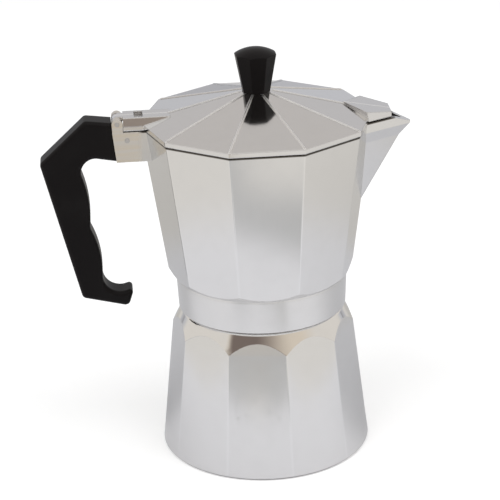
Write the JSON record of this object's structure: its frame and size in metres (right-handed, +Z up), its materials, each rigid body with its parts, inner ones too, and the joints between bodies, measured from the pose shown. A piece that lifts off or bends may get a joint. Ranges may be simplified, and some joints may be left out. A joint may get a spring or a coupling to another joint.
{
  "type": "moka pot",
  "caption": "Faceted aluminium stove-top coffee maker: boiler, funnel, screw-on collector with spout, hinged lid with knob, black handle.",
  "frame": {"origin": "centre of the boiler's flat foot, on the surface it stands on", "axes": "+Z up; +X towards the spout, so the handle is on -X; +Y to the rear, where the safety valve is"},
  "size_m": [0.1717, 0.1051, 0.1958],
  "materials": {
    "cast_aluminium": "polished casting",
    "pressed_aluminium": "satin",
    "black_plastic": "satin moulded",
    "brass": "turned",
    "sealing_rubber": "matt moulded",
    "steel": "plain"
  },
  "bodies": {
    "boiler": {"boiler": "cast_aluminium", "valve_body": "brass", "valve_washer": "sealing_rubber", "valve_nut": "brass", "valve_retainer": "brass", "valve_spring": "steel"},
    "poppet": {"valve_poppet": "brass"},
    "funnel": {"funnel": "pressed_aluminium", "funnel_stem": "pressed_aluminium", "funnel_filter": "pressed_aluminium"},
    "seal": {"gasket": "sealing_rubber", "filter_plate": "pressed_aluminium"},
    "collector": {"collector": "cast_aluminium", "delivery_column": "cast_aluminium", "handle": "black_plastic", "handle_tang": "steel", "handle_pin": "steel", "hinge_pin": "steel"},
    "lid": {"lid": "cast_aluminium", "knob": "black_plastic", "knob_insert": "brass", "knob_washer": "steel", "knob_screw": "steel"}
  },
  "joints": [
    {"name": "lift_off", "type": "slide", "parent": "boiler", "child": "funnel", "axis": [0, 0, 1], "range_m": [0, 0.09]},
    {"name": "thread_rise", "type": "slide", "parent": "funnel", "child": "seal", "axis": [0, 0, 1], "range_m": [0, 0.0081]},
    {"name": "collector_unscrew", "type": "hinge", "parent": "seal", "child": "collector", "pos_m": [0, 0, 0.0712], "axis": [0, 0, 1], "range_deg": [0, 720]},
    {"name": "lid_hinge", "type": "hinge", "parent": "collector", "child": "lid", "pos_m": [-0.06438, 0, 0.1647], "axis": [0, -1, 0], "range_deg": [0, 105]},
    {"name": "valve_lift", "type": "slide", "parent": "boiler", "child": "poppet", "axis": [0.1463, 0.9787, 0.1439], "range_m": [0, 0.0012], "stiffness_N_per_m": 1500, "springref_m": -0.0012, "deforming": ["valve_spring"]}
  ],
  "couplings": [
    {"joint": "thread_rise", "follows": "collector_unscrew", "m_per_rad": 0.00063662}
  ]
}
